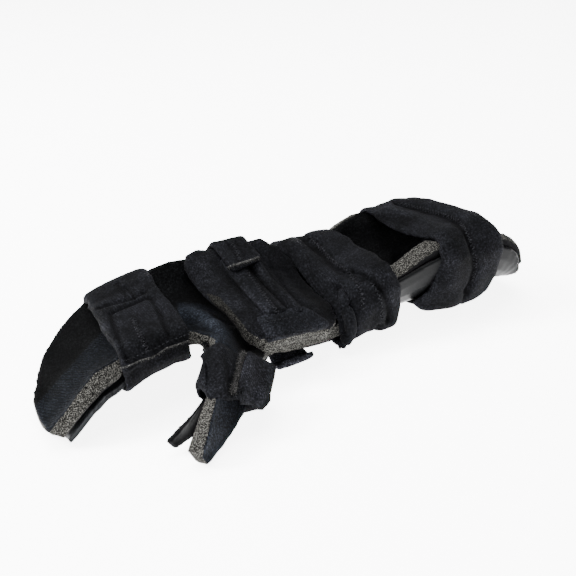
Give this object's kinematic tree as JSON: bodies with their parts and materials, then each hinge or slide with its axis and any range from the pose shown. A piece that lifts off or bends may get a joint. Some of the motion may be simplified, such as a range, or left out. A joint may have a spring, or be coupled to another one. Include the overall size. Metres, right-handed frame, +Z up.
{
  "type": "wrist and hand brace",
  "caption": "Resting wrist, hand and thumb brace: a plastic trough with a padded cloth liner, soft wrap straps and a padded cover for the back of the hand.",
  "frame": {"origin": "on the surface that the brace rests on, at the middle of the flat underside of the forearm strap", "axes": "+Z up off the resting surface; the forearm points along +X and the fingers along -X; the thumb side faces -Y"},
  "size_m": [0.379, 0.1731, 0.0674],
  "materials": {
    "shell_plastic": "semi-gloss grey",
    "liner_cloth": "brushed navy-black cloth on grey foam",
    "strap_cloth": "brushed charcoal cloth with raw fuzzy ends",
    "pad_cloth": "brushed charcoal cloth on speckled grey foam"
  },
  "bodies": {
    "root": {"plastic_shell": "shell_plastic", "foam_liner": "liner_cloth", "forearm_strap": "strap_cloth", "wrist_strap": "strap_cloth", "finger_strap": "strap_cloth", "thumb_strap": "strap_cloth", "hand_pad": "pad_cloth", "pad_strap": "strap_cloth", "pad_flap": "pad_cloth", "hand_strap": "strap_cloth"}
  },
  "joints": []
}
